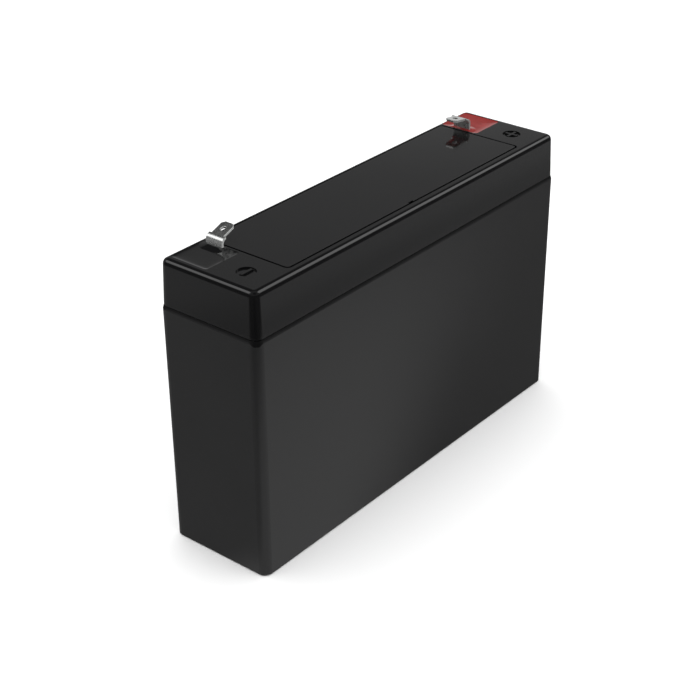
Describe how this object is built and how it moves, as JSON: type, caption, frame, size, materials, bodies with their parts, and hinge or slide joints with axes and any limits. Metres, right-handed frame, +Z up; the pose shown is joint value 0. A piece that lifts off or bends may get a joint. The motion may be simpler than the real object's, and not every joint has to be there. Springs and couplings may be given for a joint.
{
  "type": "sealed lead acid battery",
  "caption": "Slim upright battery block in black plastic with a glossy lid, folded push-on tabs at its ends, and complete cells inside.",
  "frame": {"origin": "centre of the underside, which rests on the ground plane", "axes": "+X along the case from the negative end to the positive end, +Z up, -Y is the front face"},
  "size_m": [0.151, 0.038, 0.1003],
  "materials": {
    "case_plastic": "fine satin moulded black",
    "lid_plastic": "glossy moulded black",
    "cover_plastic": "glossy moulded black",
    "valve_rubber": "soft black rubber",
    "tinned_brass": "bright tin plate on folded brass strip",
    "black_resin": "poured clear gloss over black",
    "red_resin": "poured gloss red",
    "lead": "dull cast lead",
    "positive_paste": "cured brown paste on a lead grid",
    "negative_paste": "cured grey paste on a lead grid",
    "glass_mat": "white absorbent glass mat"
  },
  "bodies": {
    "root": {"cell_1_negative_plate_1": "negative_paste", "cell_1_negative_plate_2": "negative_paste", "cell_1_negative_plate_3": "negative_paste", "cell_1_negative_plate_4": "negative_paste", "cell_1_negative_plate_5": "negative_paste", "cell_1_negative_strap": "lead", "cell_1_positive_plate_1": "positive_paste", "cell_1_positive_plate_2": "positive_paste", "cell_1_positive_plate_3": "positive_paste", "cell_1_positive_plate_4": "positive_paste", "cell_1_positive_strap": "lead", "cell_1_separator_1": "glass_mat", "cell_1_separator_2": "glass_mat", "cell_1_separator_3": "glass_mat", "cell_1_separator_4": "glass_mat", "cell_2_negative_plate_1": "negative_paste", "cell_2_negative_plate_2": "negative_paste", "cell_2_negative_plate_3": "negative_paste", "cell_2_negative_plate_4": "negative_paste", "cell_2_negative_plate_5": "negative_paste", "cell_2_negative_strap": "lead", "cell_2_positive_plate_1": "positive_paste", "cell_2_positive_plate_2": "positive_paste", "cell_2_positive_plate_3": "positive_paste", "cell_2_positive_plate_4": "positive_paste", "cell_2_positive_strap": "lead", "cell_2_separator_1": "glass_mat", "cell_2_separator_2": "glass_mat", "cell_2_separator_3": "glass_mat", "cell_2_separator_4": "glass_mat", "cell_3_negative_plate_1": "negative_paste", "cell_3_negative_plate_2": "negative_paste", "cell_3_negative_plate_3": "negative_paste", "cell_3_negative_plate_4": "negative_paste", "cell_3_negative_plate_5": "negative_paste", "cell_3_negative_strap": "lead", "cell_3_positive_plate_1": "positive_paste", "cell_3_positive_plate_2": "positive_paste", "cell_3_positive_plate_3": "positive_paste", "cell_3_positive_plate_4": "positive_paste", "cell_3_positive_strap": "lead", "cell_3_separator_1": "glass_mat", "cell_3_separator_2": "glass_mat", "cell_3_separator_3": "glass_mat", "cell_3_separator_4": "glass_mat", "container": "case_plastic", "lid": "lid_plastic", "negative_sealing_resin": "black_resin", "negative_terminal_tab": "tinned_brass", "positive_sealing_resin": "red_resin", "positive_terminal_tab": "tinned_brass", "valve_cap_1": "valve_rubber", "valve_cap_2": "valve_rubber", "valve_cap_3": "valve_rubber", "valve_cover_plate": "cover_plastic"}
  },
  "joints": []
}
